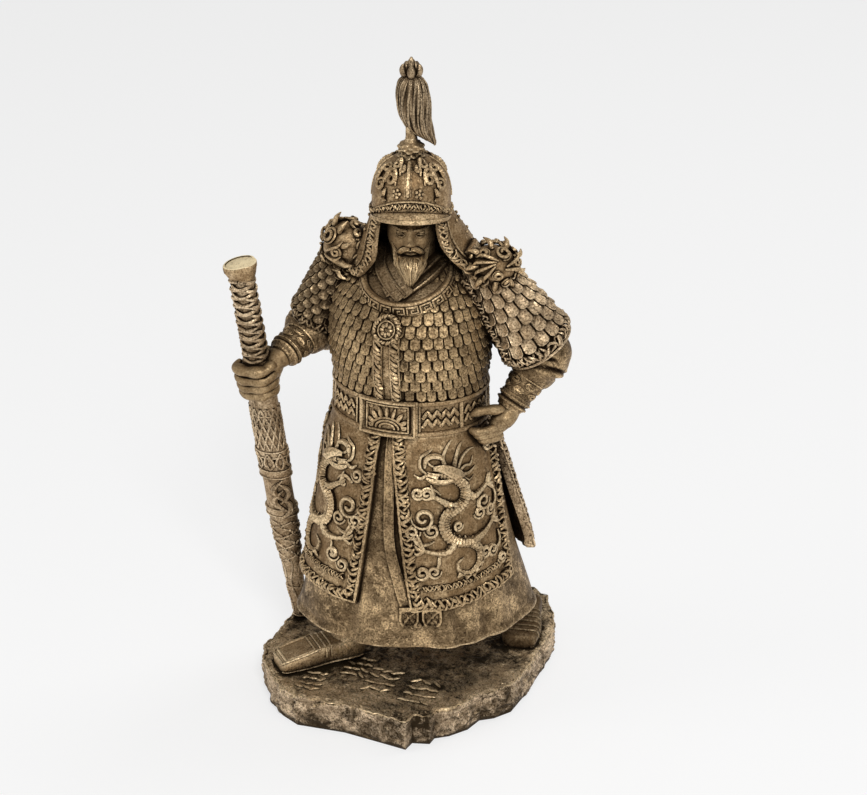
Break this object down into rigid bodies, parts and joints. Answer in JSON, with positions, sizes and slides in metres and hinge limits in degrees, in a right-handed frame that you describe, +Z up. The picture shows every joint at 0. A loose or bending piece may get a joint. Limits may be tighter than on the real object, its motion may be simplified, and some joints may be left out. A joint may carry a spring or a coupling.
{
  "type": "armoured admiral figurine",
  "caption": "Standing figurine of an armoured admiral in helmet and long robe, hand on a tall sheathed sword, on a rough rock base.",
  "frame": {"origin": "on the underside of the rock base, straight below the figure's standing axis", "axes": "+Z up, -Y the way the figure's chest faces, +X towards the figure's left hand"},
  "size_m": [0.1427, 0.1352, 0.2932],
  "materials": {
    "antique_bronze": "antique bronze patina, dark in the recesses and rubbed brighter on the relief",
    "worn_bronze": "the same patina, rubbed brighter, most on the pommel",
    "base_bronze": "rough antique bronze patina with lighter broken edges"
  },
  "bodies": {
    "root": {"figure": "antique_bronze", "sword": "worn_bronze", "rock_base": "base_bronze"}
  },
  "joints": []
}
